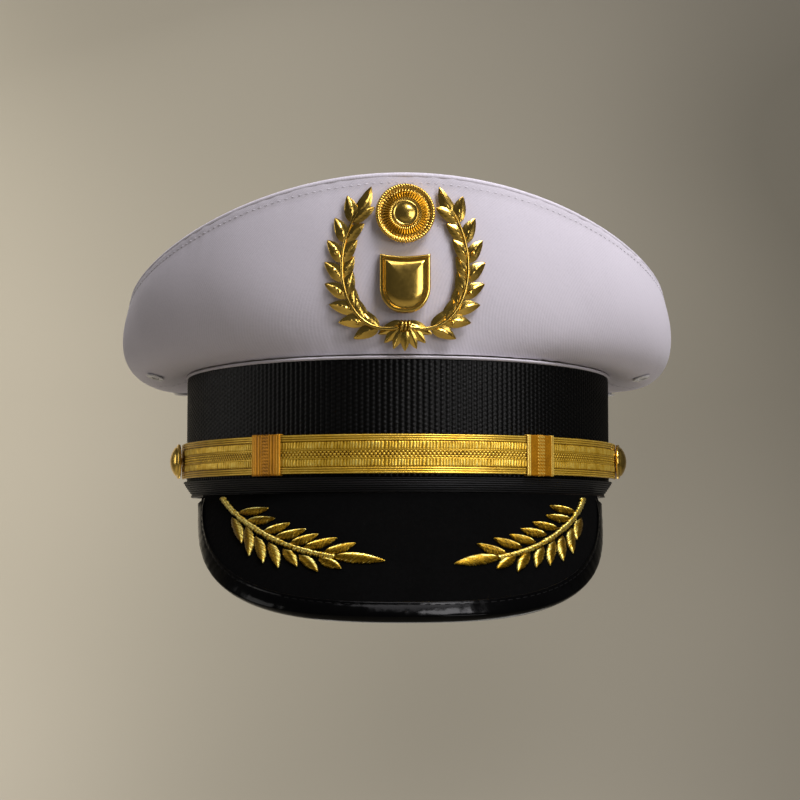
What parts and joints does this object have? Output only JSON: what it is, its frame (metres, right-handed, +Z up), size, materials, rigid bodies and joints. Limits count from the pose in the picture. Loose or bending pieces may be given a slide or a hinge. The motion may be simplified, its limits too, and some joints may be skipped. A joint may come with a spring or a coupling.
{
  "type": "peaked cap",
  "caption": "Peaked uniform cap with white cloth crown, black band, steep cloth visor with leaf embroidery, gold lace chin strap and gilt badge.",
  "frame": {"origin": "middle of the head opening, level with the bottom of the ribbed welt", "axes": "+Z up through the crown, -Y towards the visor and badge, +X towards the wearer's left"},
  "size_m": [0.2292, 0.2728, 0.1581],
  "materials": {
    "band_board": "stiff fibre board, matt",
    "black_webbing": "woven black webbing with beaded columns",
    "black_rib": "ribbed black tape",
    "white_piping": "folded white twill piping",
    "sweat_leather": "vegetable tanned, semi-gloss",
    "ivory_reed": "moulded reed",
    "bow_ribbon": "narrow satin ribbon",
    "grey_felt": "pressed felt",
    "white_twill": "white cotton twill",
    "spring_steel": "spring wire",
    "plain_brass": "plain turned brass",
    "stay_plastic": "flexible sheet",
    "satin_lining": "satin",
    "clear_vinyl": "clear flexible vinyl",
    "white_enamel": "white enamelled brass",
    "visor_board": "pressed board",
    "black_wool": "dense napped wool cloth",
    "black_leatherette": "grained, semi-gloss",
    "black_patent": "patent, high gloss",
    "gold_bullion": "gold bullion thread",
    "gilt_metal": "gilt, bright",
    "gold_lace": "woven gold lace",
    "gold_lace_slide": "woven gold lace, darker",
    "nickel_steel": "plated washer"
  },
  "bodies": {
    "cap": {"band_frame": "band_board", "cap_band": "black_webbing", "band_welt": "black_rib", "crown_welt": "white_piping", "sweatband": "sweat_leather", "sweatband_reed": "ivory_reed", "sweatband_bow": "bow_ribbon", "forehead_felt": "grey_felt", "crown_front_panel": "white_twill", "crown_quarter_left": "white_twill", "crown_quarter_right": "white_twill", "crown_top_panel": "white_twill", "crown_rim_wire": "spring_steel", "rim_wire_ferrule": "plain_brass", "front_stay": "stay_plastic", "crown_lining": "satin_lining", "sweat_shield": "clear_vinyl", "eyelets_left": "white_enamel", "eyelets_right": "white_enamel", "visor_core": "visor_board", "visor_cloth": "black_wool", "visor_underlay": "black_leatherette", "visor_binding": "black_patent", "embroidery_left": "gold_bullion", "embroidery_right": "gold_bullion", "badge_wreath": "gilt_metal", "badge_shield": "gilt_metal", "badge_disc": "gilt_metal", "badge_screw_posts": "plain_brass", "badge_thumb_nuts": "plain_brass", "button_washers": "nickel_steel", "button_nuts": "plain_brass"},
    "chin_strap": {"strap_left": "gold_lace", "strap_right": "gold_lace"},
    "slide_left": {"strap_slide_left": "gold_lace_slide"},
    "slide_right": {"strap_slide_right": "gold_lace_slide"},
    "button_left": {"button_shell_left": "gilt_metal", "button_shank_left": "plain_brass"},
    "button_right": {"button_shell_right": "gilt_metal", "button_shank_right": "plain_brass"}
  },
  "joints": [
    {"name": "strap_lift", "type": "hinge", "parent": "cap", "child": "chin_strap", "pos_m": [0, -0.022, 0.0135], "axis": [-1, 0, 0], "range_deg": [0, 4]},
    {"name": "slide_left_run", "type": "hinge", "parent": "chin_strap", "child": "slide_left", "pos_m": [0, -0.029, 0.0135], "axis": [0, 0, -1], "range_deg": [0, 27]},
    {"name": "slide_right_run", "type": "hinge", "parent": "chin_strap", "child": "slide_right", "pos_m": [0, -0.029, 0.0135], "axis": [0, 0, 1], "range_deg": [0, 27]},
    {"name": "button_left_spin", "type": "hinge", "parent": "cap", "child": "button_left", "pos_m": [0.08491, -0.022, 0.0135], "axis": [0.9819, -0.1896, 0], "continuous": true},
    {"name": "button_right_spin", "type": "hinge", "parent": "cap", "child": "button_right", "pos_m": [-0.08491, -0.022, 0.0135], "axis": [-0.9819, -0.1896, 0], "continuous": true}
  ]
}
